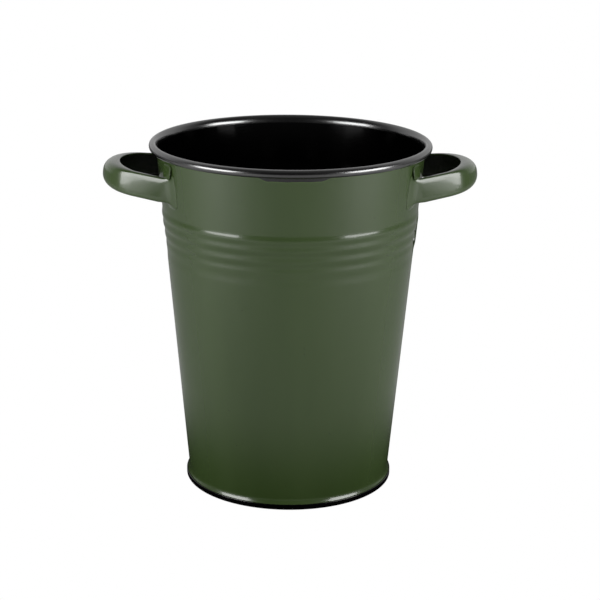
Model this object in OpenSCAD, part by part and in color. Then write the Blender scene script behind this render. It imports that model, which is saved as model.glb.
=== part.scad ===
// Florist bucket: a tapered sheet-steel pail with a wired rim, a band of
// rolled beads, a hemmed base pan and two pressed loop handles.
// The origin is the centre of the foot on the floor, +Z is up, and the handles
// stand out along -X and +X.

/* [Bucket] */
// Height from the floor to the top of the rim
bucket_h = 250; // [180:1:330]
// Outer diameter over the rolled rim
rim_d = 200; // [170:1:260]
// Outer diameter of the foot
foot_d = 151; // [120:1:190]
// Thickness of the enamelled sheet
sheet_t = 0.8; // [0.6:0.1:1.2]

/* [Rim] */
// Diameter of the wire inside the rolled rim
wire_d = 4.2; // [3:0.1:6]
// Clearance where one piece is rolled or pushed round another
fit_gap = 0.05; // [0.02:0.01:0.2]
// How far round the wire the sheet is rolled, in degrees
roll_turn = 320; // [240:5:335]

/* [Beads] */
// Number of beads rolled into the wall
bead_count = 4; // [1:1:6]
// Distance from one bead to the next
bead_pitch = 8; // [6:0.5:12]
// How far a bead stands out of the wall
bead_depth = 0.8; // [0.3:0.1:1.5]
// Distance from the top of the rim to the top of the bead band
bead_drop = 47; // [44:1:80]

/* [Side seam] */
// Width of the lap where the two ends of the sheet overlap
seam_w = 7; // [5:0.5:12]

/* [Foot] */
// Height at which the wall starts to flare
flare_h = 8; // [6.5:0.5:14]
// How far the foot stands out of the wall
flare_w = 2; // [1.6:0.1:4]
// Height of the hem that the base pan folds round the wall
hem_h = 4; // [3:0.1:5.5]
// Height of the base pan's underside above the floor
base_rise = 3.4; // [2:0.1:3.8]

/* [Handles] */
// Outer width of a handle's loop
loop_w = 80; // [66:1:96]
// How far the loop's centre stands out of the wall
loop_out = 1; // [0:0.5:12]
// Height of the pressed strap
strap_h = 16; // [12:0.5:20]
// Depth of the pressed strap, from its crown to its lips
strap_depth = 11; // [8:0.5:14]
// Radius of the strap's rounded shoulders
shoulder_r = 5.5; // [3:0.5:5.5]
// Thickness of the strap's sheet
strap_t = 1.2; // [0.8:0.1:1.6]
// Angle by which the loop rises away from the wall
loop_rise = 9.5; // [0:0.5:15]
// Distance from the top of the rim to the middle of the strap at the wall
loop_drop = 27.5; // [26:0.5:35]
// How far a weld tab reaches from the strap towards the gap
tab_in = 2; // [0:0.5:8]
// How far a weld tab reaches past the strap's crown
tab_out = 5; // [1:0.5:6]
// How far a weld tab reaches above the strap
tab_up = 11; // [3:0.5:11.5]

/* [Hidden] */
$fn = 96;
green = [0.31, 0.36, 0.26];
black = [0.04, 0.04, 0.04];
steel = [0.62, 0.62, 0.6];
cut = 1;

// Rim: the sheet rolls outwards round the wire, and its inner side is the wall
wire_r = wire_d / 2;
roll_in = wire_r + fit_gap;
roll_out = roll_in + sheet_t;
roll_x = rim_d / 2 - roll_out;
roll_z = bucket_h - roll_out;

// Wall: a straight taper from the top of the flare to the middle of the roll
wall_low = foot_d / 2 - flare_w;
wall_high = roll_x - roll_in;
function wall_r(z) = wall_low + (wall_high - wall_low) * (z - flare_h) / (roll_z - flare_h);

// Beads: whole waves, so that the band starts and ends level with the wall
bead_top = bucket_h - bead_drop;
bead_end = bead_top - bead_count * bead_pitch;
bead_steps = 10;
function bead(z) = bead_depth * (1 - cos(360 * (bead_top - z) / bead_pitch)) / 2;

// Foot: the wall's edge flares out and stands inside the base pan's hem
edge_r = foot_d / 2 - sheet_t - fit_gap;
edge_z = sheet_t + fit_gap;
flare_steps = 8;
function flare_z(s) = flare_h + (hem_h - flare_h) * s;
function flare_r(s) = wall_low + (edge_r - wall_low) * s * s;
skirt_r = wall_low - sheet_t - fit_gap;
hem_round = sheet_t;

// The wall's outer face from the rim down to the edge inside the hem
wall_face = concat(
    [[wall_high, roll_z]],
    [for (i = [0 : bead_count * bead_steps])
        let (z = bead_top - i * bead_pitch / bead_steps) [wall_r(z) + bead(z), z]],
    [for (i = [0 : flare_steps]) [flare_r(i / flare_steps), flare_z(i / flare_steps)]],
    [[edge_r, edge_z]]
);
face_count = len(wall_face);

// Handles
loop_r = loop_w / 2;
loop_z = bucket_h - loop_drop;
loop_x = wall_r(loop_z) + loop_out;
leg_l = 30;
tab_t = sheet_t;
tab_round = 2.5;
tab_y_in = loop_r - strap_depth - tab_in;
tab_y_out = loop_r + tab_out;

// Solid of revolution of the wall's taper, grown outwards by a distance
module taper(grow) {
    z_low = loop_z - strap_h * 3;
    z_high = roll_z - roll_out;
    translate([0, 0, z_low])
        cylinder(h = z_high - z_low, r1 = wall_r(z_low) + grow, r2 = wall_r(z_high) + grow);
}

// Section of the rolled rim: a ring that stays open next to the wall
module roll_section() {
    reach = roll_out * 2;
    open = 360 - roll_turn;
    translate([roll_x, roll_z]) difference() {
        circle(roll_out);
        circle(roll_in);
        polygon([[0, 0], [-reach, 0], [-reach, -reach * tan(open)]]);
    }
}

module body_wall() {
    inner_face = [for (i = [face_count - 1 : -1 : 0]) wall_face[i] - [sheet_t, 0]];
    seam_low = flare_h;
    seam_high = roll_z - roll_out;
    color(green) {
        rotate_extrude() {
            polygon(concat(wall_face, inner_face));
            roll_section();
        }
        intersection() {
            translate([0, 0, seam_low]) difference() {
                cylinder(h = seam_high - seam_low,
                    r1 = wall_r(seam_low) + sheet_t, r2 = wall_r(seam_high) + sheet_t);
                translate([0, 0, -cut]) cylinder(h = seam_high - seam_low + 2 * cut,
                    r1 = wall_r(seam_low - cut) - sheet_t / 2,
                    r2 = wall_r(seam_high + cut) - sheet_t / 2);
            }
            translate([0, -seam_w / 2, 0]) cube([rim_d, seam_w, bucket_h]);
        }
    }
}

module rim_wire() {
    color(steel) rotate_extrude() translate([roll_x, roll_z]) circle(wire_r);
}

// Base pan: a raised disc, a skirt against the wall and a hem round its edge
module base_pan() {
    hem_r = foot_d / 2;
    color(black) rotate_extrude() {
        translate([0, base_rise]) square([skirt_r, sheet_t]);
        translate([skirt_r - sheet_t, 0]) square([sheet_t, base_rise + sheet_t]);
        translate([skirt_r - sheet_t, 0]) square([hem_r - hem_round - skirt_r + sheet_t, sheet_t]);
        translate([hem_r - sheet_t, hem_round]) square([sheet_t, hem_h - hem_round - sheet_t / 2]);
        translate([hem_r - sheet_t / 2, hem_h - sheet_t / 2]) circle(sheet_t / 2);
        intersection() {
            translate([hem_r - hem_round, hem_round]) circle(hem_round);
            translate([hem_r - hem_round, 0]) square(hem_round);
        }
    }
}

// Bar of the strap's section, with its crown on the far side at x = crown
module bar(crown, h, round_r) {
    translate([crown - strap_depth, -h / 2]) square([strap_depth - round_r, h]);
    translate([crown - round_r, round_r - h / 2]) square([round_r, h - 2 * round_r]);
    for (side = [-1, 1]) translate([crown - round_r, side * (h / 2 - round_r)]) circle(round_r);
}

// The pressed strap is open towards the gap
module strap_section() {
    difference() {
        bar(loop_r, strap_h, shoulder_r);
        translate([-strap_t, 0]) bar(loop_r, strap_h - 2 * strap_t, shoulder_r - strap_t);
        translate([loop_r - strap_depth - cut, strap_t - strap_h / 2])
            square([2 * cut, strap_h - 2 * strap_t]);
    }
}

module loop() {
    rotate([0, 0, -90]) rotate_extrude(angle = 180) strap_section();
    for (side = [0, 1]) mirror([0, side, 0])
        translate([-leg_l, 0, 0]) rotate([90, 0, 90]) linear_extrude(leg_l) strap_section();
}

// Rounded tab that lies on the wall next to one leg
module tab_outline() {
    h = strap_h + tab_up;
    w = tab_y_out - tab_y_in;
    translate([tab_y_in + tab_round, tab_round - strap_h / 2]) {
        for (x = [0, w - 2 * tab_round], y = [0, h - 2 * tab_round])
            translate([x, y]) circle(tab_round);
        translate([-tab_round, 0]) square([w, h - 2 * tab_round]);
        translate([0, -tab_round]) square([w - 2 * tab_round, h]);
    }
}

module tabs() {
    intersection() {
        difference() {
            taper(tab_t);
            taper(0);
        }
        for (side = [0, 1]) mirror([0, side, 0])
            translate([0, 0, loop_z]) rotate([90, 0, 90]) linear_extrude(rim_d) tab_outline();
    }
}

module handle() {
    color(green) {
        difference() {
            translate([loop_x, 0, loop_z]) rotate([0, -loop_rise, 0]) loop();
            taper(0);
        }
        tabs();
    }
}

module handle_left() { mirror([1, 0, 0]) handle(); }

module handle_right() { handle(); }

body_wall();
rim_wire();
base_pan();
handle_left();
handle_right();
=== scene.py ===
"""Looks for an enamelled florist bucket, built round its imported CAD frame.

The bucket is one rigid body. Each sub-assembly below is a class that models its
own pieces with Blender's tools, dresses them in enamel or steel and seats them
on the frame. All lengths are in metres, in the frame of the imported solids.
"""

import logging
import math
from dataclasses import dataclass
from enum import Enum
from itertools import pairwise
from typing import Any, Callable, Iterable, Sequence

import bmesh
import bpy
from mathutils import Matrix, Vector


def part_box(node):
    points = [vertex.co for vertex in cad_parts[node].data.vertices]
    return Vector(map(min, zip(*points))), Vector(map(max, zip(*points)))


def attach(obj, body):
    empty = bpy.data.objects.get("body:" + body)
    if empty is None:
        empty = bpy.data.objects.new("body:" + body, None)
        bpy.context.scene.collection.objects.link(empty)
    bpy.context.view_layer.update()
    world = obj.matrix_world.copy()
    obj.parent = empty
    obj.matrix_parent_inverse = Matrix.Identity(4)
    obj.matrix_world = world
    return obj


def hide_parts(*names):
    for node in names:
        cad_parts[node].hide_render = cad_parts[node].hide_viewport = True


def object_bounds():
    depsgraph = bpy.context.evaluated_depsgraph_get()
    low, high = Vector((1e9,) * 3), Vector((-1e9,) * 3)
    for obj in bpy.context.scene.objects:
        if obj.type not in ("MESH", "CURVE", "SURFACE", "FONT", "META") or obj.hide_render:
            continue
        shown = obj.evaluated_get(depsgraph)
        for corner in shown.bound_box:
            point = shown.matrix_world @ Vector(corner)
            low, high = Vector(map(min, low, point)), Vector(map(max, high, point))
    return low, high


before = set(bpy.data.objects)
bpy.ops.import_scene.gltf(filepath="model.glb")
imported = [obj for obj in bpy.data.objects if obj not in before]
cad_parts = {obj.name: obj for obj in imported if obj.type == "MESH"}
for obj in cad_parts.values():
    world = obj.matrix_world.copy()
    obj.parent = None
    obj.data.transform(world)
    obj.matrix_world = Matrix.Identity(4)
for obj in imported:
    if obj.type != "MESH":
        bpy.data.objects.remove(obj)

CAD_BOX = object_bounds()
BODY = "root"
MM = 0.001
SAME_PLACE = 0.01 * MM
LOG = logging.getLogger("florist_bucket")

Socket = bpy.types.NodeSocket
Piece = bpy.types.Object
Triple = tuple[float, float, float]
Colour = Triple


class Slot(Enum):
    """The record's material slots."""

    GREEN = "green_enamel"
    BLACK = "black_enamel"
    STEEL = "rim_steel"


class Side(Enum):
    """Which side of the bucket a handle stands on."""

    LEFT = -1
    RIGHT = 1


# ---------------------------------------------------------------- bench tools


class Bench:
    """Modelling tools that start and end in object mode with one piece in hand."""

    @staticmethod
    def clear() -> None:
        """Puts every piece down."""
        if bpy.context.object and bpy.context.mode != "OBJECT":
            bpy.ops.object.mode_set(mode="OBJECT")
        bpy.ops.object.select_all(action="DESELECT")

    @classmethod
    def take(cls, piece: Piece) -> None:
        """Makes a piece the only one selected.

        Args:
            piece: The piece to work on.
        """
        cls.clear()
        piece.select_set(True)
        bpy.context.view_layer.objects.active = piece

    @classmethod
    def edit(cls, piece: Piece, select: str = "SELECT") -> None:
        """Opens a piece in edit mode.

        Args:
            piece: The piece to work on.
            select: "SELECT" to start with everything picked, or "DESELECT".
        """
        cls.take(piece)
        bpy.ops.object.mode_set(mode="EDIT")
        bpy.ops.mesh.select_mode(type="VERT")
        bpy.ops.mesh.select_all(action=select)

    @classmethod
    def close(cls) -> None:
        """Leaves edit mode."""
        bpy.ops.object.mode_set(mode="OBJECT")

    @classmethod
    def trace(cls, name: str, points: Sequence[Vector]) -> Piece:
        """Draws an open line by extruding one vertex from point to point.

        Args:
            name: The new piece's name.
            points: The corners of the line, in order.

        Returns:
            The line as a piece, with its last vertex picked.
        """
        cls.clear()
        bpy.ops.mesh.primitive_plane_add(size=MM, location=points[0])
        piece = bpy.context.object
        piece.name = name
        bpy.ops.object.transform_apply()
        cls.edit(piece)
        bpy.ops.mesh.merge(type="CENTER")
        for start, end in pairwise(points):
            bpy.ops.mesh.extrude_region_move(TRANSFORM_OT_translate={"value": end - start})
        cls.close()
        return piece

    @classmethod
    def spin(cls, piece: Piece, steps: int, angle: float = math.tau) -> None:
        """Spins all of a piece round the Z axis.

        Args:
            piece: The line to spin.
            steps: How many facets the turn has.
            angle: How far to turn. A whole turn closes on itself.
        """
        cls.edit(piece)
        bpy.ops.mesh.spin(steps=steps, angle=angle, center=(0, 0, 0), axis=(0, 0, 1))
        bpy.ops.mesh.select_all(action="SELECT")
        bpy.ops.mesh.remove_doubles(threshold=SAME_PLACE)
        bpy.ops.mesh.normals_make_consistent(inside=False)
        cls.close()

    @classmethod
    def apply(cls, piece: Piece, kind: str, **settings: Any) -> None:
        """Adds one modifier to a piece and applies it.

        Args:
            piece: The piece to change.
            kind: The modifier's type.
            **settings: The modifier's own settings.
        """
        cls.take(piece)
        tool = piece.modifiers.new(kind.title(), kind)
        for key, value in settings.items():
            setattr(tool, key, value)
        bpy.ops.object.modifier_apply(modifier=tool.name)

    @classmethod
    def thicken(cls, piece: Piece, depth: float, **settings: Any) -> None:
        """Gives a sheet its thickness on the inner side of its faces.

        Args:
            piece: The sheet.
            depth: The thickness.
            **settings: Further settings of the Solidify modifier.
        """
        cls.apply(piece, "SOLIDIFY", thickness=depth, offset=-1, **settings)

    @classmethod
    def smooth(cls, piece: Piece, degrees: float = 40) -> None:
        """Shades a piece smooth and keeps the edges sharper than an angle.

        Args:
            piece: The piece to shade.
            degrees: The angle.
        """
        cls.take(piece)
        bpy.ops.object.shade_smooth_by_angle(angle=math.radians(degrees))

    @classmethod
    def flip(cls, piece: Piece) -> None:
        """Turns every face of a piece round.

        Args:
            piece: The piece to turn inside out.
        """
        cls.edit(piece)
        bpy.ops.mesh.flip_normals()
        cls.close()

    @classmethod
    def pick_edges(cls, piece: Piece, test: Callable[[bmesh.types.BMEdge], bool]) -> None:
        """Opens a piece with only the edges that pass a test picked.

        Args:
            piece: The piece to open in edit mode.
            test: Says whether an edge is picked.
        """
        cls.edit(piece, "DESELECT")
        bpy.ops.mesh.select_mode(type="EDGE")
        mesh = bmesh.from_edit_mesh(piece.data)
        for edge in mesh.edges:
            if test(edge):
                edge.select_set(True)
        bmesh.update_edit_mesh(piece.data)

    @classmethod
    def ease_edges(cls, piece: Piece) -> None:
        """Rounds the sharp edges of a piece of cut sheet.

        Args:
            piece: The piece of sheet.
        """
        cls.apply(
            piece,
            "BEVEL",
            width=0.25 * MM,
            segments=3,
            limit_method="ANGLE",
            angle_limit=math.radians(50),
        )

    @classmethod
    def cone(cls, low: float, high: float, low_r: float, high_r: float) -> Piece:
        """Makes an open cone round the Z axis, to press other pieces against.

        Args:
            low: Height of its lower end.
            high: Height of its upper end.
            low_r: Radius of its lower end.
            high_r: Radius of its upper end.

        Returns:
            The cone.
        """
        cls.clear()
        bpy.ops.mesh.primitive_cone_add(
            vertices=512,
            radius1=low_r,
            radius2=high_r,
            depth=high - low,
            end_fill_type="NOTHING",
            location=(0, 0, (low + high) / 2),
        )
        return bpy.context.object

    @classmethod
    def press(cls, piece: Piece, former: Piece, **settings: Any) -> None:
        """Moves a piece along X on to a former, and takes the former away.

        Args:
            piece: The piece to move.
            former: The shape that it is pressed against.
            **settings: Further settings of the Shrinkwrap modifier.
        """
        cls.apply(
            piece,
            "SHRINKWRAP",
            target=former,
            wrap_method="PROJECT",
            use_project_x=True,
            use_negative_direction=True,
            use_positive_direction=True,
            **settings,
        )
        bpy.data.objects.remove(former)


# -------------------------------------------------------------------- shaders


class Wiring:
    """A node tree that is wired up one node at a time."""

    def __init__(self, tree: bpy.types.NodeTree) -> None:
        """Starts on an empty tree."""
        self.tree = tree
        tree.nodes.clear()

    def node(
        self, kind: str, sockets: dict[str | int, Any] | None = None, **settings: Any
    ) -> bpy.types.Node:
        """Adds a node.

        Args:
            kind: The node's type.
            sockets: A constant or a socket to link for each named input.
            **settings: The node's own settings.

        Returns:
            The new node.
        """
        made = self.tree.nodes.new(kind)
        for key, value in settings.items():
            setattr(made, key, value)
        for key, value in (sockets or {}).items():
            if isinstance(value, Socket):
                self.tree.links.new(value, made.inputs[key])
            else:
                made.inputs[key].default_value = value
        return made

    def maths(self, operation: str, *values: float | Socket) -> Socket:
        """Adds a Math node on up to three values and returns its result."""
        sockets = dict(enumerate(values))
        return self.node("ShaderNodeMath", sockets, operation=operation).outputs[0]

    def ramp(
        self, value: Socket, low: float | Socket, high: float | Socket, to: tuple[float, float] = (0, 1)
    ) -> Socket:
        """Eases a value from one end of a range to the other.

        Args:
            value: The value to read.
            low: Where the range starts.
            high: Where the range ends.
            to: What the two ends become.

        Returns:
            The eased value.
        """
        sockets = {"Value": value, "From Min": low, "From Max": high, "To Min": to[0], "To Max": to[1]}
        return self.node("ShaderNodeMapRange", sockets, interpolation_type="SMOOTHSTEP").outputs[0]

    def noise(self, vector: Socket, scale: float | Socket, detail: float = 2) -> Socket:
        """Adds a noise texture and returns its value, from 0 to 1."""
        sockets = {"Vector": vector, "Scale": scale, "Detail": detail}
        return self.node("ShaderNodeTexNoise", sockets).outputs[0]

    def blend(self, share: float | Socket, first: Any, second: Any) -> Socket:
        """Mixes two colours.

        Args:
            share: How much of the second colour shows.
            first: The first colour, as a socket or four numbers.
            second: The second colour, as a socket or four numbers.

        Returns:
            The mixed colour.
        """
        mix = self.node("ShaderNodeMix", {0: share, 6: first, 7: second}, data_type="RGBA")
        return mix.outputs[2]

    def stretch(self, vector: Socket, scale: Triple) -> Socket:
        """Scales a vector along each axis."""
        sockets = {"Vector": vector, "Scale": scale}
        return self.node("ShaderNodeMapping", sockets).outputs[0]


def opaque(colour: Colour) -> tuple[float, float, float, float]:
    """Adds a full alpha to a colour."""
    return (*colour, 1.0)


def effect(
    name: str, inputs: dict[str, float | None], outputs: Iterable[str]
) -> tuple[bpy.types.NodeTree, Wiring, bpy.types.Node, bpy.types.Node]:
    """Starts a shared shader effect.

    Args:
        name: The effect's name.
        inputs: Each number input with its usual value, or None for a vector.
        outputs: The number outputs.

    Returns:
        The group, its wiring, its input node and its output node.
    """
    group = bpy.data.node_groups.new(name, "ShaderNodeTree")
    for label, value in inputs.items():
        kind = "NodeSocketVector" if value is None else "NodeSocketFloat"
        socket = group.interface.new_socket(label, in_out="INPUT", socket_type=kind)
        if value is not None:
            socket.default_value = value
    for label in outputs:
        group.interface.new_socket(label, in_out="OUTPUT", socket_type="NodeSocketFloat")
    wiring = Wiring(group)
    return group, wiring, wiring.node("NodeGroupInput"), wiring.node("NodeGroupOutput")


class Effects:
    """The shader effects that the finishes share, each built once."""

    def __init__(self) -> None:
        """Builds every effect."""
        self.glaze = self._glaze()
        self.brushed_line_and_highlight = self._brushed_line_and_highlight()
        self.rubbed = self._rubbed()

    @staticmethod
    def _glaze() -> bpy.types.NodeTree:
        """Fired glass: a rippled skin, slow drifts of tone and a few pinholes.

        Returns:
            A group with outputs Height, Tone and Pinholes.
        """
        swell_share, swell_depth = 0.12, 2.2
        runs_down, drift_band = (1, 1, 0.22), (0.3, 0.7)
        patch_scale, patch_band, largest = 90, (0.62, 0.8), 0.1
        inputs = {"Vector": None, "Ripple": 420.0, "Drift": 14.0, "Pinhole": 260.0}
        group, wire, given, out = effect("enamel_glaze", inputs, ["Height", "Tone", "Pinholes"])
        where = given.outputs["Vector"]
        ripple = wire.noise(where, given.outputs["Ripple"], 1)
        swell = wire.noise(where, wire.maths("MULTIPLY", given.outputs["Ripple"], swell_share), 2)
        height = wire.maths("MULTIPLY_ADD", swell, swell_depth, ripple)
        tall = wire.stretch(where, runs_down)
        tone = wire.ramp(wire.noise(tall, given.outputs["Drift"], 3), *drift_band)
        sockets = {"Vector": where, "Scale": given.outputs["Pinhole"]}
        cells = wire.node("ShaderNodeTexVoronoi", sockets)
        size = wire.ramp(wire.noise(where, patch_scale, 0), *patch_band, (0.0, largest))
        pinholes = wire.maths("LESS_THAN", cells.outputs["Distance"], size)
        for label, value in (("Height", height), ("Tone", tone), ("Pinholes", pinholes)):
            wire.tree.links.new(value, out.inputs[label])
        return group

    @staticmethod
    def _brushed_line_and_highlight() -> bpy.types.NodeTree:
        """A hand-brushed border: nothing below a level, everything above it.

        The brush dips lower in a few sweeps round the Z axis. A thin strip just below the border is the
        mask for a painted highlight along the paint's edge.

        Returns:
            A group with outputs Mask, for the border, and the strip for the painted highlight.
        """
        sweeps, sweep_band = 3, (0.7, 0.86)
        along_brush, strip_fades = (1, 1, 0.35), 6
        inputs = {
            "Vector": None,
            "Level": 0.0,
            "Wander": 0.9 * MM,
            "Fade": 0.16 * MM,
            "Grain": 160.0,
            "Sweep": 2.2 * MM,
        }
        group, wire, given, out = effect("brushed_line_and_highlight", inputs, ["Mask", "Border"])
        place = wire.node("ShaderNodeSeparateXYZ", {0: given.outputs["Vector"]}).outputs
        across = wire.maths("MULTIPLY", place["Y"], -1)
        bearing = wire.maths("ARCTAN2", place["X"], across)
        wave = wire.maths("COSINE", wire.maths("MULTIPLY", bearing, sweeps))
        sweep = wire.maths("MULTIPLY", wire.ramp(wave, *sweep_band), given.outputs["Sweep"])
        height = wire.maths("ADD", place["Z"], sweep)
        flat = wire.stretch(given.outputs["Vector"], along_brush)
        shake = wire.maths("SUBTRACT", wire.noise(flat, given.outputs["Grain"], 4), 0.5)
        moved = wire.maths("MULTIPLY_ADD", shake, given.outputs["Wander"], height)
        level, fade = given.outputs["Level"], given.outputs["Fade"]
        mask = wire.ramp(moved, wire.maths("SUBTRACT", level, fade), wire.maths("ADD", level, fade))
        # The thin strip just below the border carries a painted highlight, where the enamel's edge
        # would catch the light.
        lower = wire.maths("MULTIPLY_ADD", fade, -strip_fades, level)
        close = wire.ramp(moved, lower, level)
        border = wire.maths("MULTIPLY", close, wire.maths("SUBTRACT", 1, mask))
        wire.tree.links.new(mask, out.inputs["Mask"])
        wire.tree.links.new(border, out.inputs["Border"])
        return group

    @staticmethod
    def _rubbed() -> bpy.types.NodeTree:
        """Scuffs where a piece stands on the ground.

        Returns:
            A group with output Mask, strongest at height 0.
        """
        bare_band = (0.5, 0.62)
        inputs = {"Vector": None, "Reach": 0.8 * MM, "Grain": 900.0}
        group, wire, given, out = effect("rubbed_foot", inputs, ["Mask"])
        height = wire.node("ShaderNodeSeparateXYZ", {0: given.outputs["Vector"]}).outputs["Z"]
        low = wire.ramp(height, 0.0, given.outputs["Reach"], (1.0, 0.0))
        speckle = wire.noise(given.outputs["Vector"], given.outputs["Grain"], 4)
        grain = wire.ramp(speckle, *bare_band)
        wire.tree.links.new(wire.maths("MULTIPLY", low, grain), out.inputs["Mask"])
        return group


class Finish:
    """The start of a material: its object coordinates, shader and output."""

    def __init__(self, name: str, effects: Effects) -> None:
        """Makes an empty material with a Principled shader.

        Args:
            name: The material's name.
            effects: The shared effects.
        """
        self.material = bpy.data.materials.new(name)
        self.material.use_nodes = True
        self.effects = effects
        self.wire = Wiring(self.material.node_tree)
        self.where = self.wire.node("ShaderNodeTexCoord").outputs["Object"]
        self.shader = self.wire.node("ShaderNodeBsdfPrincipled")
        output = self.wire.node("ShaderNodeOutputMaterial")
        self.feed(output.inputs["Surface"], self.shader.outputs[0])

    def feed(self, target: Socket, source: Socket) -> None:
        """Links one socket to another."""
        self.wire.tree.links.new(source, target)

    def group(self, tree: bpy.types.NodeTree, **values: float) -> bpy.types.Node:
        """Places a shared effect on the object's coordinates.

        Args:
            tree: The effect.
            **values: Its number inputs.

        Returns:
            The group's node.
        """
        sockets = {"Vector": self.where, **values}
        return self.wire.node("ShaderNodeGroup", sockets, node_tree=tree)

    def set(self, **values: float) -> None:
        """Sets constants on the shader, with _ for a space in a socket's name."""
        for key, value in values.items():
            self.shader.inputs[key.replace("_", " ")].default_value = value

    def bump(self, height: Socket, depth: float) -> None:
        """Puts a height into the shader's normal.

        Args:
            height: The height, from 0 to 1 or so.
            depth: How deep a height of 1 is.
        """
        bumped = self.wire.node("ShaderNodeBump", {"Height": height, "Distance": depth})
        self.feed(self.shader.inputs["Normal"], bumped.outputs[0])


@dataclass(frozen=True)
class GreenEnamel:
    """Olive green glass enamel, with a black brushed border above a level if it has one and a painted
    highlight just below it.
    """

    base: Colour = (0.0320, 0.0560, 0.0145)
    light: Colour = (0.0400, 0.0670, 0.0195)
    edge: Colour = (0.012, 0.012, 0.012)
    pinhole_shade: float = 0.45
    # The painted highlight along the lower edge of the black border: how much lighter its green is, and
    # how strongly it shows.
    border_glow: float = 1.9
    border_share: float = 0.5
    roughness: float = 0.2
    haze: float = 0.05
    ripple: float = 0.012 * MM
    brush_level: float | None = None

    def build(self, name: str, effects: Effects) -> bpy.types.Material:
        """Builds the material.

        Args:
            name: The material's name.
            effects: The shared effects.

        Returns:
            The material.
        """
        finish = Finish(name, effects)
        wire = finish.wire
        glaze = finish.group(effects.glaze)
        colour = wire.blend(glaze.outputs["Tone"], opaque(self.base), opaque(self.light))
        dark = tuple(channel * self.pinhole_shade for channel in self.base)
        colour = wire.blend(glaze.outputs["Pinholes"], colour, opaque(dark))
        if self.brush_level is not None:
            line = finish.group(effects.brushed_line_and_highlight, Level=self.brush_level)
            # Painted highlight: the strip below the black border is lightened, as if the enamel's edge
            # caught the light.
            painted_highlight = tuple(channel * self.border_glow for channel in self.light)
            border = wire.maths("MULTIPLY", line.outputs["Border"], self.border_share)
            colour = wire.blend(border, colour, opaque(painted_highlight))
            colour = wire.blend(line.outputs["Mask"], colour, opaque(self.edge))
        finish.feed(finish.shader.inputs["Base Color"], colour)
        haze = wire.maths("MULTIPLY_ADD", glaze.outputs["Tone"], self.haze, self.roughness)
        finish.feed(finish.shader.inputs["Roughness"], haze)
        finish.bump(glaze.outputs["Height"], self.ripple)
        finish.set(IOR=1.5, Coat_Weight=0.35, Coat_Roughness=0.06)
        return finish.material


@dataclass(frozen=True)
class BlackEnamel:
    """Glossy black enamel, scuffed where it meets the ground."""

    base: Colour = (0.0003, 0.0003, 0.00033)
    light: Colour = (0.0007, 0.0007, 0.0008)
    scuff: Colour = (0.16, 0.155, 0.15)
    roughness: float = 0.16
    haze: float = 0.06
    scuff_haze: float = 0.35
    ripple: float = 0.012 * MM
    ior: float = 1.5

    def build(self, name: str, effects: Effects) -> bpy.types.Material:
        """Builds the material.

        Args:
            name: The material's name.
            effects: The shared effects.

        Returns:
            The material.
        """
        finish = Finish(name, effects)
        wire = finish.wire
        glaze = finish.group(effects.glaze, Ripple=520.0)
        worn = finish.group(effects.rubbed).outputs["Mask"]
        colour = wire.blend(glaze.outputs["Tone"], opaque(self.base), opaque(self.light))
        colour = wire.blend(worn, colour, opaque(self.scuff))
        finish.feed(finish.shader.inputs["Base Color"], colour)
        haze = wire.maths("MULTIPLY_ADD", glaze.outputs["Tone"], self.haze, self.roughness)
        haze = wire.maths("MULTIPLY_ADD", worn, self.scuff_haze, haze)
        finish.feed(finish.shader.inputs["Roughness"], haze)
        finish.bump(glaze.outputs["Height"], self.ripple)
        finish.set(IOR=self.ior)
        return finish.material


@dataclass(frozen=True)
class DrawnSteel:
    """Bright drawn wire with fine lines along it."""

    base: Colour = (0.42, 0.41, 0.39)
    dark: Colour = (0.16, 0.155, 0.15)
    roughness: float = 0.22
    haze: float = 0.25
    line_scale: float = 900
    line_depth: float = 0.01 * MM
    along_wire: Triple = (0.1, 0.1, 6)
    spot_scale: float = 120
    spot_band: tuple[float, float] = (0.5, 0.75)

    def build(self, name: str, effects: Effects) -> bpy.types.Material:
        """Builds the material.

        Args:
            name: The material's name.
            effects: The shared effects.

        Returns:
            The material.
        """
        finish = Finish(name, effects)
        wire = finish.wire
        lines = wire.noise(wire.stretch(finish.where, self.along_wire), self.line_scale, 3)
        spots = wire.ramp(wire.noise(finish.where, self.spot_scale, 4), *self.spot_band)
        colour = wire.blend(spots, opaque(self.base), opaque(self.dark))
        finish.feed(finish.shader.inputs["Base Color"], colour)
        haze = wire.maths("MULTIPLY_ADD", lines, self.haze, self.roughness)
        finish.feed(finish.shader.inputs["Roughness"], haze)
        finish.bump(lines, self.line_depth)
        finish.set(Metallic=1.0)
        return finish.material


# ----------------------------------------------------------------- dimensions


@dataclass(frozen=True)
class Bucket:
    """The bucket's leading sizes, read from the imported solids."""

    height: float
    foot_r: float
    wire_r: float
    ring_r: float
    ring_z: float
    sheet_t: float = 0.8 * MM
    fit_gap: float = 0.05 * MM
    flare_h: float = 8 * MM
    flare_w: float = 2 * MM
    hem_h: float = 4 * MM

    @classmethod
    def measure(cls) -> "Bucket":
        """Reads the sizes from the frame.

        Returns:
            The bucket's sizes.
        """
        wall_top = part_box("body_wall")[1]
        wire_low, wire_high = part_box("rim_wire")
        wire_r = (wire_high.z - wire_low.z) / 2
        return cls(
            height=wall_top.z,
            foot_r=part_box("base_pan")[1].x,
            wire_r=wire_r,
            ring_r=wire_high.x - wire_r,
            ring_z=wire_high.z - wire_r,
        )

    @property
    def roll_r(self) -> float:
        """Radius of the rolled rim's section."""
        return self.wire_r + self.fit_gap + self.sheet_t

    @property
    def low_r(self) -> float:
        """Radius of the wall's outer face at the top of the flare."""
        return self.foot_r - self.flare_w

    @property
    def high_r(self) -> float:
        """Radius of the wall's outer face at the middle of the roll."""
        return self.ring_r - self.wire_r - self.fit_gap

    def wall_r(self, z: float) -> float:
        """Radius of the plain wall's outer face at a height."""
        share = (z - self.flare_h) / (self.ring_z - self.flare_h)
        return self.low_r + (self.high_r - self.low_r) * share


@dataclass(frozen=True)
class Turn:
    """A crest or a valley of the bead band: its drop below the rim and its stand."""

    drop: float
    stand: float


# ----------------------------------------------------------------- assemblies


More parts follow.
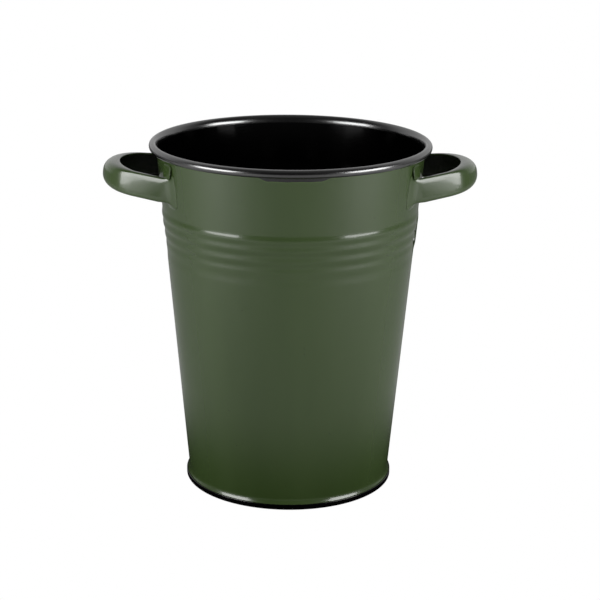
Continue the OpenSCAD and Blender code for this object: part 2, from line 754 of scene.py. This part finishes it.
def seat(piece: Piece, slot: Slot, *nodes: str) -> Piece:
    """Seats a finished piece on the frame.

    Args:
        piece: The piece.
        slot: The piece's material slot; not used.
        *nodes: The CAD nodes that it stands for.

    Returns:
        The same piece.
    """
    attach(piece, BODY)
    if nodes:
        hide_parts(*nodes)
    LOG.info("%s: %d faces", piece.name, len(piece.data.polygons))
    return piece


@dataclass
class Wall:
    """The tapered wall: green shell, black lining, wired rim and side seam."""

    bucket: Bucket
    facets: int = 192
    shell_t: float = 0.6 * MM
    beads: tuple[Turn, ...] = (
        Turn(46.0 * MM, 0.0),
        Turn(50.9 * MM, 0.66 * MM),
        Turn(54.0 * MM, 0.3 * MM),
        Turn(57.6 * MM, 0.55 * MM),
        Turn(61.6 * MM, -0.15 * MM),
        Turn(65.4 * MM, 0.1 * MM),
        Turn(69.4 * MM, -0.4 * MM),
        Turn(73.0 * MM, -0.16 * MM),
        Turn(77.4 * MM, -0.3 * MM),
        Turn(84.0 * MM, 0.0),
    )
    bead_steps: int = 7
    flare_steps: int = 8
    shoulder_h: float = 5.4 * MM
    shoulder_steps: int = 12
    rim_t: float = 0.5 * MM
    rim_ease: float = 0.02 * MM
    roll_steps: int = 28
    roll_turn: float = 322
    seam_w: float = 7 * MM
    seam_steps: int = 6
    seam_rows: int = 90
    lap_flush: float = 0.22 * MM
    lap_lift: float = 1.0 * MM
    lap_from: float = 47 * MM
    lap_to: float = 76 * MM
    lap_ease: float = 5 * MM

    def face_line(self) -> list[Vector]:
        """Draws the wall's outer face from its lower edge to the roll.

        Returns:
            The points of the line, in the XZ plane.
        """
        bucket = self.bucket
        edge_r = bucket.foot_r - bucket.sheet_t - bucket.fit_gap
        points = [Vector((edge_r, 0, bucket.sheet_t + bucket.fit_gap))]
        for step in range(self.flare_steps + 1):
            share = 1 - step / self.flare_steps
            radius = bucket.low_r + (edge_r - bucket.low_r) * share**2
            height = bucket.flare_h + (bucket.hem_h - bucket.flare_h) * share
            points.append(Vector((radius, 0, height)))
        for lower, upper in pairwise(reversed(self.beads)):
            for step in range(self.bead_steps):
                share = step / self.bead_steps
                ease = (1 - math.cos(math.pi * share)) / 2
                z = bucket.height - lower.drop - (upper.drop - lower.drop) * share
                stand = lower.stand + (upper.stand - lower.stand) * ease
                points.append(Vector((bucket.wall_r(z) + stand, 0, z)))
        z = bucket.height - self.beads[0].drop
        points.append(Vector((bucket.wall_r(z), 0, z)))
        points.append(Vector((bucket.high_r, 0, bucket.ring_z)))
        return points

    def lining_r(self, z: float) -> float:
        """Radius of the wall's inner face at a height."""
        return self.bucket.wall_r(z) - self.bucket.sheet_t

    def shell(self, enamel: bpy.types.Material) -> Piece:
        """Models the green outer face of the sheet, from the hem into the roll.

        Args:
            enamel: Its finish.

        Returns:
            The shell.
        """
        piece = Bench.trace("wall_shell", self.face_line())
        Bench.spin(piece, self.facets)
        Bench.thicken(piece, self.shell_t)
        Bench.smooth(piece)
        piece.data.materials.append(enamel)
        return seat(piece, Slot.GREEN, "body_wall")

    def lining(self, enamel: bpy.types.Material) -> Piece:
        """Models the black inner face of the sheet, from the base to the roll.

        Args:
            enamel: Its finish.

        Returns:
            The lining.
        """
        line = [point for point in self.face_line()[1:] if point.z < self.shoulder_z - MM]
        line.append(Vector((self.bucket.wall_r(self.shoulder_z), 0, self.shoulder_z)))
        inset = Vector((self.shell_t, 0, 0))
        piece = Bench.trace("wall_lining", [point - inset for point in line])
        Bench.spin(piece, self.facets)
        Bench.thicken(piece, self.bucket.sheet_t - self.shell_t)
        Bench.smooth(piece)
        piece.data.materials.append(enamel)
        return seat(piece, Slot.BLACK, "body_wall")

    @property
    def shoulder_z(self) -> float:
        """Height at which the lining ends and the rim's inner shoulder starts."""
        return self.bucket.height - self.shoulder_h

    def rim(self, enamel: bpy.types.Material) -> Piece:
        """Models the rim: a long inner shoulder, then the roll outwards round the wire.

        Args:
            enamel: Its finish.

        Returns:
            The rim.
        """
        bucket = self.bucket
        line = []
        lean = self.lining_r(self.shoulder_z) - (bucket.ring_r - bucket.roll_r)
        for step in range(self.shoulder_steps):
            turn = math.pi / 2 * step / self.shoulder_steps
            out = (bucket.roll_r - lean) * math.cos(turn)
            up = self.shoulder_h * math.sin(turn)
            line.append(Vector((bucket.ring_r - out, 0, self.shoulder_z + up)))
        middle = Vector((bucket.ring_r - self.rim_ease, 0, bucket.ring_z))
        for step in range(self.roll_steps + 1):
            turn = math.radians(90 - (self.roll_turn - 90) * step / self.roll_steps)
            line.append(middle + Vector((math.cos(turn), 0, math.sin(turn))) * bucket.roll_r)
        piece = Bench.trace("rim_roll", line)
        Bench.spin(piece, self.facets)
        Bench.thicken(piece, self.rim_t)
        Bench.smooth(piece)
        piece.data.materials.append(enamel)
        return seat(piece, Slot.BLACK, "body_wall")

    def seam(self, enamel: bpy.types.Material) -> Piece:
        """Models the lap where the two ends of the sheet meet, at +X.

        Args:
            enamel: Its finish.

        Returns:
            The lap.
        """
        bucket = self.bucket
        low, high = bucket.flare_h, bucket.ring_z - bucket.roll_r
        line = []
        for row in range(self.seam_rows + 1):
            z = low + (high - low) * row / self.seam_rows
            drop = bucket.height - z
            above = min(1.0, max(0.0, (drop - self.lap_from) / self.lap_ease))
            below = min(1.0, max(0.0, (self.lap_to - drop) / self.lap_ease))
            lift = self.lap_flush + (self.lap_lift - self.lap_flush) * min(above, below)
            line.append(Vector((bucket.wall_r(z) + lift, 0, z)))
        piece = Bench.trace("seam_lap", line)
        angle = self.seam_w / bucket.wall_r((low + high) / 2)
        for point in piece.data.vertices:
            point.co = Matrix.Rotation(-angle / 2, 3, "Z") @ point.co
        Bench.spin(piece, self.seam_steps, angle)
        Bench.thicken(piece, bucket.sheet_t)
        Bench.ease_edges(piece)
        Bench.smooth(piece)
        piece.data.materials.append(enamel)
        return seat(piece, Slot.GREEN, "body_wall")

    def build(self, looks: "Looks") -> None:
        """Builds the wall's pieces.

        Args:
            looks: The finishes.
        """
        self.shell(looks.shell_green)
        self.lining(looks.lining_black)
        self.rim(looks.rim_black)
        self.seam(looks.green)


@dataclass
class FootPan:
    """The pressed base pan: a raised floor, a skirt and a hem round the wall."""

    bucket: Bucket
    facets: int = 192
    rise: float = 3.4 * MM
    corner_r: float = 1.6 * MM
    skirt_fold_r: float = 0.45 * MM
    hem_fold_r: float = 0.8 * MM
    pan_t: float = 0.72 * MM
    floor_rings: tuple[float, ...] = (0, 0.3, 0.6, 0.85)
    corner_steps: int = 6

    def corner(self, centre: Vector, start: float, end: float, radius: float) -> list[Vector]:
        """Rounds one corner of the pan's section.

        Args:
            centre: The corner's centre.
            start: The angle at which the corner starts, in degrees.
            end: The angle at which it ends.
            radius: Its radius.

        Returns:
            Points along the corner.
        """
        points = []
        for step in range(self.corner_steps + 1):
            turn = math.radians(start + (end - start) * step / self.corner_steps)
            points.append(centre + Vector((math.cos(turn), 0, math.sin(turn))) * radius)
        return points

    def section(self) -> list[Vector]:
        """Draws the underside of the pan from its middle to the top of the hem.

        Returns:
            The points of the line, in the XZ plane.
        """
        bucket = self.bucket
        skirt_r = bucket.low_r - bucket.sheet_t - bucket.fit_gap - bucket.sheet_t
        inner, tight, fold = self.corner_r, self.skirt_fold_r, self.hem_fold_r
        lip = bucket.sheet_t / 2
        line = [Vector((skirt_r * share, 0, self.rise)) for share in self.floor_rings]
        line += self.corner(Vector((skirt_r - inner, 0, self.rise - inner)), 90, 0, inner)
        line += self.corner(Vector((skirt_r + tight, 0, tight)), 180, 270, tight)
        line += self.corner(Vector((bucket.foot_r - fold, 0, fold)), 270, 360, fold)
        line += self.corner(Vector((bucket.foot_r - lip, 0, bucket.hem_h - lip)), 0, 80, lip)
        return line

    def build(self, looks: "Looks") -> None:
        """Builds the pan.

        Args:
            looks: The finishes.
        """
        piece = Bench.trace("foot_pan", self.section())
        Bench.spin(piece, self.facets)
        Bench.thicken(piece, self.pan_t)
        Bench.smooth(piece, 50)
        piece.data.materials.append(looks.black)
        seat(piece, Slot.BLACK, "base_pan")


@dataclass(frozen=True)
class Ring:
    """One ring at a handle's root: its gap to the wall and how far it spreads."""

    gap: float
    spread: float


@dataclass
class LoopHandle:
    """A pressed strap bent into a loop, with spread roots and two weld tabs.

    It is modelled on the right-hand side, and a left-hand one is then mirrored.
    Splay and rise are in degrees.
    """

    bucket: Bucket
    side: Side
    node: str
    bend_r: float = 36 * MM
    splay: float = 22
    loop_out: float = 4 * MM
    leg_l: float = 20.8 * MM
    tip_h: float = 18.2 * MM
    leg_h: float = 17.4 * MM
    tip_depth: float = 11 * MM
    leg_depth: float = 3.4 * MM
    strap_t: float = 1.2 * MM
    tip_square: float = 2.5
    leg_square: float = 6.0
    rise: float = 7.3
    drop: float = 25.9 * MM
    section_steps: int = 28
    bend_steps: int = 56
    root_start: float = 2.5 * MM
    gauge_below: float = 30 * MM
    gauge_above: float = 25 * MM
    weld_gap: float = 0.06 * MM
    thinnest: float = 0.02
    lip_r: float = 0.42 * MM
    lip_off: float = 3 * MM
    tab_top: float = 9 * MM
    tab_bottom: float = 18.8 * MM
    tab_inner: float = 36.5 * MM
    tab_outer: float = 46.5 * MM
    tab_corner_r: float = 2.2 * MM
    tab_border: float = 0.5 * MM
    tab_lean: float = 1.7 * MM
    tab_sunk: float = 0.08 * MM
    tab_columns: int = 9
    tab_rows: int = 5
    roots: tuple[Ring, ...] = (
        Ring(3.9 * MM, 0.1 * MM),
        Ring(2.8 * MM, 0.4 * MM),
        Ring(2.0 * MM, 1.0 * MM),
        Ring(1.35 * MM, 1.8 * MM),
        Ring(0.95 * MM, 2.7 * MM),
        Ring(0.6 * MM, 3.6 * MM),
        Ring(0.1 * MM, 4.2 * MM),
    )

    @property
    def centre(self) -> Vector:
        """The middle of the loop's bend, on the right-hand side."""
        z = self.bucket.height - self.drop
        return Vector((self.bucket.wall_r(z) + self.loop_out, 0, z))

    def section(self) -> list[Vector]:
        """Draws the strap's outer face across, open towards the gap.

        Returns:
            The points of the line, from its lower lip to its upper one.
        """
        points = []
        power = 2 / self.tip_square
        lead = Matrix.Rotation(-math.radians(self.splay), 3, "Z")
        for step in range(self.section_steps + 1):
            turn = math.pi * (step / self.section_steps - 0.5)
            inset = self.tip_depth * (1 - abs(math.cos(turn)) ** power)
            height = self.tip_h / 2 * math.copysign(abs(math.sin(turn)) ** power, math.sin(turn))
            points.append(lead @ Vector((0, self.bend_r - inset, height)))
        return points

    def fit(self, piece: Piece, group: str, gap: float) -> None:
        """Moves a group of points along X until it stands a gap off the wall.

        Args:
            piece: The piece to fit.
            group: The vertex group that moves.
            gap: The distance to keep from the wall.
        """
        low, high = self.centre.z - self.gauge_below, self.centre.z + self.gauge_above
        wall_r = self.bucket.wall_r
        gauge = Bench.cone(low, high, wall_r(low) + gap, wall_r(high) + gap)
        Bench.press(piece, gauge, vertex_group=group)

    def strap(self, looks: "Looks") -> Piece:
        """Models the strap: section, bend, two legs, roots, thickness and lips.

        Args:
            looks: The finishes.

        Returns:
            The strap.
        """
        label = self.side.name.lower()
        piece = Bench.trace(f"loop_{label}", self.section())
        Bench.edit(piece)
        bpy.ops.mesh.spin(
            steps=self.bend_steps,
            angle=math.pi - 2 * math.radians(self.splay),
            center=(0, 0, 0),
            axis=(0, 0, 1),
            use_auto_merge=False,
        )
        Bench.close()
        self._flatten(piece)
        self._grow_legs(piece)
        self._grow_roots(piece)
        Bench.edit(piece)
        bpy.ops.mesh.normals_make_consistent(inside=False)
        Bench.close()
        place = Matrix.Translation(self.centre) @ Matrix.Rotation(-math.radians(self.rise), 4, "Y")
        piece.data.transform(place)
        for number, ring in enumerate(self.roots):
            self.fit(piece, f"root_{number}", ring.gap)
        self._weigh_sheet(piece)
        for material in (looks.green, looks.black):
            piece.data.materials.append(material)
        Bench.thicken(
            piece,
            self.strap_t,
            vertex_group="sheet",
            thickness_vertex_group=self.thinnest,
            material_offset=1,
            material_offset_rim=0,
        )
        self._round_lips(piece)
        return piece

    def _flatten(self, piece: Piece) -> None:
        """Flattens the strap from its deep grip at the tip to its shallow legs.

        Args:
            piece: The strap.
        """
        splay = math.sin(math.radians(self.splay))
        for point in piece.data.vertices:
            reach = math.hypot(point.co.x, point.co.y)
            grip = max(0.0, (point.co.x / reach - splay) / (1 - splay))
            power = self.tip_square / (self.leg_square + (self.tip_square - self.leg_square) * grip)
            depth = self.leg_depth + (self.tip_depth - self.leg_depth) * grip
            height = self.leg_h + (self.tip_h - self.leg_h) * grip
            across = max(0.0, 1 - (self.bend_r - reach) / self.tip_depth) ** power
            up = min(1.0, abs(point.co.z) / (self.tip_h / 2)) ** power
            scale = (self.bend_r - depth * (1 - across)) / reach
            point.co.x *= scale
            point.co.y *= scale
            point.co.z = math.copysign(height / 2 * up, point.co.z)

    @property
    def leg_end(self) -> Vector:
        """Where the outer face of the leg at +Y ends, before the loop is put in place."""
        splay = math.radians(self.splay)
        start = Vector((math.sin(splay), math.cos(splay), 0)) * self.bend_r
        return start + Vector((-math.cos(splay), math.sin(splay), 0)) * self.leg_l

    @staticmethod
    def _pick_end(piece: Piece, along: Vector, level: float, end: int) -> None:
        """Opens the strap with one of its open ends picked.

        Args:
            piece: The strap.
            along: The direction in which its end is measured.
            level: How far along that direction the end lies.
            end: -1 or 1, for the leg at -Y or +Y.
        """

        def at_end(edge: bmesh.types.BMEdge) -> bool:
            """Says whether an edge lies on the open end."""
            return all(
                abs(v.co.dot(along) - level) < SAME_PLACE and v.co.y * end > 0 for v in edge.verts
            )

        Bench.pick_edges(piece, at_end)

    def _grow_legs(self, piece: Piece) -> None:
        """Extrudes both ends of the bend into straight, splayed legs, cut off square.

        Args:
            piece: The strap.
        """
        splay = math.radians(self.splay)
        for end in (-1, 1):
            along = Vector((-math.cos(splay), end * math.sin(splay), 0))
            self._pick_end(piece, along, 0, end)
            bpy.ops.mesh.extrude_region_move(
                TRANSFORM_OT_translate={"value": tuple(along * self.leg_l)}
            )
            bpy.ops.transform.resize(value=(0, 1, 1), center_override=(self.leg_end.x, 0, 0))
            Bench.close()

    def _grow_roots(self, piece: Piece) -> None:
        """Extrudes both legs on to the wall, ring by ring.

        Args:
            piece: The strap.
        """
        half_depth = self.leg_depth * math.cos(math.radians(self.splay)) / 2
        half_h = self.leg_h / 2
        drift = math.tan(math.radians(self.splay))
        level = self.leg_end.x
        middle_y = self.leg_end.y - half_depth
        last = Ring(self.roots[0].gap + self.root_start, 0.0)
        for number, ring in enumerate(self.roots):
            step = last.gap - ring.gap
            grow_y = (half_depth + ring.spread) / (half_depth + last.spread)
            grow_z = (half_h + ring.spread) / (half_h + last.spread)
            middle_y += step * drift
            for end in (-1, 1):
                self._pick_end(piece, Vector((1, 0, 0)), level, end)
                bpy.ops.mesh.extrude_region_move(
                    TRANSFORM_OT_translate={"value": (-step, end * step * drift, 0)}
                )
                bpy.ops.transform.resize(
                    value=(1, grow_y, grow_z), center_override=(0, end * middle_y, 0)
                )
                Bench.close()
            level -= step
            picked = [v.index for v in piece.data.vertices if abs(v.co.x - level) < SAME_PLACE]
            piece.vertex_groups.new(name=f"root_{number}").add(picked, 1.0, "REPLACE")
            last = ring

    def _weigh_sheet(self, piece: Piece) -> None:
        """Marks how thick the sheet is: full on the strap, thin where it meets the wall.

        Args:
            piece: The strap.
        """
        sheet = piece.vertex_groups.new(name="sheet")
        sheet.add([v.index for v in piece.data.vertices], 1.0, "REPLACE")
        for number, ring in enumerate(self.roots):
            share = min(1.0, max(self.thinnest, (ring.gap - self.weld_gap) / self.strap_t))
            group = piece.vertex_groups[f"root_{number}"].index
            picked = [
                v.index for v in piece.data.vertices if any(g.group == group for g in v.groups)
            ]
            sheet.add(picked, share, "REPLACE")

    def _round_lips(self, piece: Piece) -> None:
        """Rounds the two lips of the strap.

        Args:
            piece: The strap.
        """
        corner = math.radians(55)

        def on_lip(edge: bmesh.types.BMEdge) -> bool:
            """Says whether an edge is a corner of a lip, clear of the wall."""
            middle = (edge.verts[0].co + edge.verts[1].co) / 2
            clear = self.bucket.wall_r(middle.z) + self.lip_off
            off_wall = math.hypot(middle.x, middle.y) > clear
            return off_wall and edge.is_manifold and edge.calc_face_angle(0) > corner

        Bench.pick_edges(piece, on_lip)
        bpy.ops.mesh.bevel(offset=self.lip_r, segments=3, profile=0.5, clamp_overlap=False)
        Bench.close()

    def tab(self, end: int, looks: "Looks") -> Piece:
        """Models one weld tab: a small plate that leans from the wall to the strap.

        Args:
            end: -1 or 1, for the leg at -Y or +Y.
            looks: The finishes.

        Returns:
            The tab.
        """
        label = f"{self.side.name.lower()}_{'front' if end < 0 else 'back'}"
        top, bottom = self.bucket.height - self.tab_top, self.bucket.height - self.tab_bottom
        inner, outer = self.tab_inner, self.tab_outer
        sheet_t = self.bucket.sheet_t
        Bench.clear()
        bpy.ops.mesh.primitive_plane_add(
            size=1,
            location=(CAD_BOX[1][0], end * (inner + outer) / 2, (top + bottom) / 2),
            rotation=(0, math.pi / 2, 0),
        )
        piece = bpy.context.object
        piece.name = f"weld_tab_{label}"
        piece.scale = (top - bottom, outer - inner, 1)
        bpy.ops.object.transform_apply()
        Bench.edit(piece)
        bpy.ops.mesh.bevel(offset=self.tab_corner_r, segments=5, affect="VERTICES")
        bpy.ops.mesh.select_all(action="SELECT")
        bpy.ops.mesh.inset(thickness=self.tab_border)
        Bench.close()
        for column in range(1, self.tab_columns):
            y = end * (inner + (outer - inner) * column / self.tab_columns)
            self._slice(piece, Vector((0, y, 0)), (0, 1, 0))
        for row in range(1, self.tab_rows):
            z = bottom + (top - bottom) * row / self.tab_rows
            self._slice(piece, Vector((0, 0, z)), (0, 0, 1))
        low_r = self.bucket.wall_r(bottom) + sheet_t + self.tab_lean
        high_r = self.bucket.wall_r(top) + sheet_t - self.tab_sunk
        former = Bench.cone(bottom, top, low_r, high_r)
        past_ends = 1.001
        former.scale.z = past_ends
        Bench.press(piece, former)
        self._face_out(piece)
        Bench.thicken(piece, sheet_t)
        Bench.ease_edges(piece)
        Bench.smooth(piece)
        piece.data.materials.append(looks.green)
        return piece

    @staticmethod
    def _slice(piece: Piece, place: Vector, normal: Triple) -> None:
        """Cuts a row of edges across a piece.

        Args:
            piece: The piece to cut.
            place: A point on the cut.
            normal: The direction square to the cut.
        """
        Bench.edit(piece)
        bpy.ops.mesh.bisect(plane_co=place, plane_no=normal)
        Bench.close()

    @staticmethod
    def _face_out(piece: Piece) -> None:
        """Turns a sheet's faces towards +X."""
        if sum(face.normal.x for face in piece.data.polygons) < 0:
            Bench.flip(piece)

    def _mirror(self, piece: Piece) -> None:
        """Turns a right-hand piece into a left-hand one.

        Args:
            piece: A piece of the handle.
        """
        if self.side is Side.RIGHT:
            return
        piece.data.transform(Matrix.Scale(-1, 4, (1, 0, 0)))
        Bench.flip(piece)

    def build(self, looks: "Looks") -> None:
        """Builds the handle and its tabs.

        Args:
            looks: The finishes.
        """
        strap = self.strap(looks)
        tabs = [self.tab(end, looks) for end in (-1, 1)]
        for piece in (strap, *tabs):
            self._mirror(piece)
            Bench.smooth(piece)
            seat(piece, Slot.GREEN, self.node)


# --------------------------------------------------------------------- looks


@dataclass
class Looks:
    """Every finish on the bucket."""

    shell_green: bpy.types.Material
    green: bpy.types.Material
    black: bpy.types.Material
    rim_black: bpy.types.Material
    lining_black: bpy.types.Material
    steel: bpy.types.Material

    @classmethod
    def mix(cls, bucket: Bucket) -> "Looks":
        """Builds every material.

        Args:
            bucket: The bucket's sizes.

        Returns:
            The finishes.
        """
        effects = Effects()
        border_drop = 6.5 * MM
        bordered = GreenEnamel(brush_level=bucket.height - border_drop)
        thick_coat = BlackEnamel(
            base=(0.001, 0.001, 0.0011), light=(0.0025, 0.0025, 0.0026), roughness=0.18, ior=2.2
        )
        smooth_coat = BlackEnamel(roughness=0.06, ripple=0.006 * MM)
        return cls(
            shell_green=bordered.build("green_enamel_wall", effects),
            green=GreenEnamel().build("green_enamel_handles", effects),
            black=BlackEnamel().build("black_enamel", effects),
            rim_black=thick_coat.build("black_enamel_rim", effects),
            lining_black=smooth_coat.build("black_enamel_lining", effects),
            steel=DrawnSteel().build("drawn_steel", effects),
        )


# --------------------------------------------------------------------- studio


@dataclass(frozen=True)
class Softbox:
    """A soft light: its bearing from the front, in degrees, and its place, size and power."""

    bearing: float
    elevation: float
    distance: float
    width: float
    height: float
    power: float

    def place(self, side: Side, target: Vector) -> None:
        """Hangs the light on one side, so that it faces a point.

        Args:
            side: The side of the bucket that it lights.
            target: The point that it faces.
        """
        name = f"softbox_{side.name.lower()}"
        turn, lift = math.radians(self.bearing * side.value), math.radians(self.elevation)
        away = Vector(
            (math.sin(turn) * math.cos(lift), -math.cos(turn) * math.cos(lift), math.sin(lift))
        )
        data = bpy.data.lights.new(name, "AREA")
        data.shape = "RECTANGLE"
        data.size, data.size_y = self.width, self.height
        data.energy = self.power
        light = bpy.data.objects.new(name, data)
        bpy.context.scene.collection.objects.link(light)
        light.location = target + away * self.distance
        light.rotation_mode = "QUATERNION"
        light.rotation_quaternion = (-away).to_track_quat("-Z", "Y")


@dataclass
class Studio:
    """The floor, the surroundings, the lights and the camera. Angles are in degrees."""

    target: Vector
    distance: float = 1.19224
    height: float = 0.49272
    orbit: float = 1.5
    pitch: float = 16.822
    yaw: float = 0.364
    roll: float = 0.538
    lens: float = 102.985
    softbox: Softbox = Softbox(61, 13, 1.0, 0.6, 0.5, 8)
    floor_size: float = 12
    # Painted shadow on the floor: dark inside the first radius, easing out to the paper's tone by the
    # second.
    painted_shadow_r: float = 0.085
    open_r: float = 0.24
    painted_shadow: Colour = (0.02, 0.02, 0.02)
    paper: Colour = (0.57, 0.57, 0.57)
    white: Colour = (1, 1, 1)
    room: float = 0.03
    card: float = 0.85
    ceiling: tuple[float, float] = (0.01, 0.15)

    def floor(self) -> None:
        """Lays a plain white floor with a painted shadow: it throws less light back close to the
        bucket.
        """
        Bench.clear()
        bpy.ops.mesh.primitive_plane_add(size=self.floor_size)
        plane = bpy.context.object
        plane.name = "studio_floor"
        material = bpy.data.materials.new("white_paper_painted_shadow")
        material.use_nodes = True
        wire = Wiring(material.node_tree)
        seen = wire.node("ShaderNodeLightPath").outputs["Is Camera Ray"]
        where = wire.node("ShaderNodeTexCoord").outputs["Object"]
        # Painted shadow: for every ray but the camera's, the floor is dark near the bucket and pale
        # further out.
        reach = wire.node("ShaderNodeVectorMath", {0: where}, operation="LENGTH").outputs["Value"]
        out_of_painted_shadow = wire.ramp(reach, self.painted_shadow_r, self.open_r)
        tone = wire.blend(out_of_painted_shadow, opaque(self.painted_shadow), opaque(self.paper))
        paper = wire.node("ShaderNodeBsdfDiffuse", {"Color": tone})
        white = wire.node("ShaderNodeEmission", {"Color": opaque(self.white), "Strength": 1.0})
        mix = wire.node("ShaderNodeMixShader", {0: seen, 1: paper.outputs[0], 2: white.outputs[0]})
        wire.node("ShaderNodeOutputMaterial", {"Surface": mix.outputs[0]})
        plane.data.materials.append(material)

    def surroundings(self) -> None:
        """Surrounds the bucket with white card behind and a dim room in front."""
        world = bpy.data.worlds.new("studio")
        bpy.context.scene.world = world
        world.use_nodes = True
        wire = Wiring(world.node_tree)
        facing = wire.node("ShaderNodeTexCoord").outputs["Generated"]
        parts = wire.node("ShaderNodeSeparateXYZ", {0: facing})
        behind = wire.ramp(parts.outputs["Y"], -0.15, 0.7, (self.room, self.card))
        above = wire.ramp(parts.outputs["Z"], 0.6, 0.9, self.ceiling)
        strength = wire.maths("MAXIMUM", behind, above)
        seen = wire.node("ShaderNodeLightPath").outputs["Is Camera Ray"]
        card = wire.node("ShaderNodeBackground", {"Strength": strength})
        white = wire.node("ShaderNodeBackground", {"Color": opaque(self.white), "Strength": 1.0})
        mix = wire.node("ShaderNodeMixShader", {0: seen, 1: card.outputs[0], 2: white.outputs[0]})
        wire.node("ShaderNodeOutputWorld", {"Surface": mix.outputs[0]})

    def camera(self) -> None:
        """Sets up the camera, in front of the bucket and a little above it."""
        orbit = math.radians(self.orbit)
        round_z = Vector((-math.sin(orbit), -math.cos(orbit), 0)) * self.distance
        stand = round_z + Vector((0, 0, self.height))
        pitch, roll = math.radians(self.pitch), math.radians(self.roll)
        yaw = math.radians(self.yaw) + orbit
        ahead = Vector(
            (math.sin(yaw) * math.cos(pitch), math.cos(yaw) * math.cos(pitch), -math.sin(pitch))
        )
        right = ahead.cross(Vector((0, 0, 1))).normalized()
        up = right.cross(ahead)
        turned_right = right * math.cos(roll) + up * math.sin(roll)
        turned_up = up * math.cos(roll) - right * math.sin(roll)
        turn = Matrix((turned_right, turned_up, -ahead)).transposed()
        data = bpy.data.cameras.new("camera")
        data.lens = self.lens
        data.clip_start, data.clip_end = 0.05, 50
        camera = bpy.data.objects.new("camera", data)
        camera.matrix_world = Matrix.Translation(stand) @ turn.to_4x4()
        bpy.context.scene.collection.objects.link(camera)
        bpy.context.scene.camera = camera

    def build(self) -> None:
        """Builds the studio."""
        self.camera()
        self.floor()
        self.surroundings()
        for side in Side:
            self.softbox.place(side, self.target)
        bpy.context.scene.view_settings.view_transform = "Standard"


# ----------------------------------------------------------------------- main


def main() -> None:
    logging.basicConfig(level=logging.INFO, format="%(name)s: %(message)s")
    bucket = Bucket.measure()
    looks = Looks.mix(bucket)
    Studio(target=Vector((0, 0, bucket.height / 2))).build()
    Wall(bucket).build(looks)
    FootPan(bucket).build(looks)
    LoopHandle(bucket, Side.LEFT, "handle_left").build(looks)
    LoopHandle(bucket, Side.RIGHT, "handle_right").build(looks)
    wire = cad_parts["rim_wire"]
    wire.data.materials.clear()
    wire.data.materials.append(looks.steel)
    Bench.clear()


if __name__ == "__main__":
    main()
